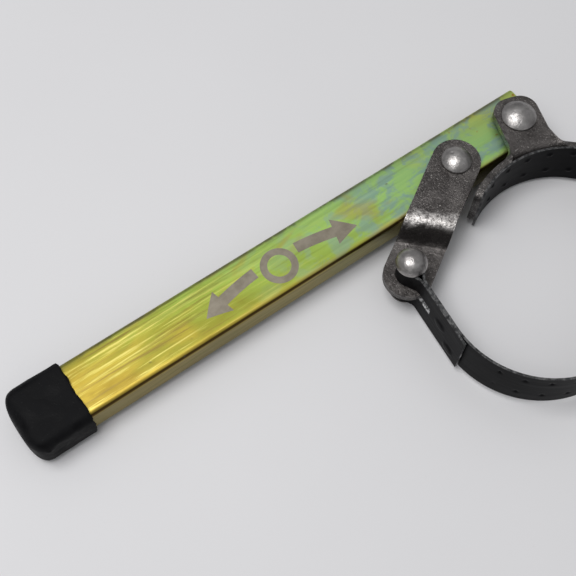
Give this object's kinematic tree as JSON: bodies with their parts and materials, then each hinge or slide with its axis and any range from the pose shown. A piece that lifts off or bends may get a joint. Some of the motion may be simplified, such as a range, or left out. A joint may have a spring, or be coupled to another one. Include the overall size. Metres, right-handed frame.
{
  "type": "oil filter wrench",
  "caption": "Strap-type oil filter wrench: rectangular tube handle with a rubber cap, riveted bracket and joggled link that tighten a spring steel band.",
  "frame": {"origin": "axis of the band's round filter seat, at mid-height of the band", "axes": "+X along the handle from the rubber cap to the working end, +Y from the filter seat towards the handle, +Z along the rivets"},
  "size_m": [0.2152, 0.0996, 0.0246],
  "materials": {
    "zinc_tube": "yellow zinc chromate",
    "rubber": "matt",
    "dark_steel": "satin, rough",
    "rivet_steel": "polished",
    "spring_band": "satin black"
  },
  "bodies": {
    "handle": {"handle_tube": "zinc_tube", "end_cap": "rubber", "bracket_rivet": "rivet_steel", "link_rivet": "rivet_steel"},
    "bracket": {"anchor_bracket": "dark_steel", "band_anchor_half": "spring_band"},
    "band": {"band_free_half": "spring_band"},
    "link": {"link": "dark_steel", "band_rivet": "rivet_steel"}
  },
  "joints": [
    {"name": "bracket_pivot", "type": "hinge", "parent": "handle", "child": "bracket", "pos_m": [0.0132, 0.04636, 0], "axis": [0, 0, 1], "range_deg": [0, 28]},
    {"name": "link_pivot", "type": "hinge", "parent": "handle", "child": "link", "pos_m": [-0.0146, 0.04526, 0], "axis": [0, 0, 1], "range_deg": [0, 35]},
    {"name": "band_flex", "type": "hinge", "parent": "bracket", "child": "band", "pos_m": [0.02893, -0.0167, 0], "axis": [0, 0, 1], "range_deg": [-7, 0]}
  ],
  "couplings": [
    {"joint": "link_pivot", "follows": "bracket_pivot", "ratio": 1.2467},
    {"joint": "band_flex", "follows": "bracket_pivot", "ratio": -0.2377}
  ]
}
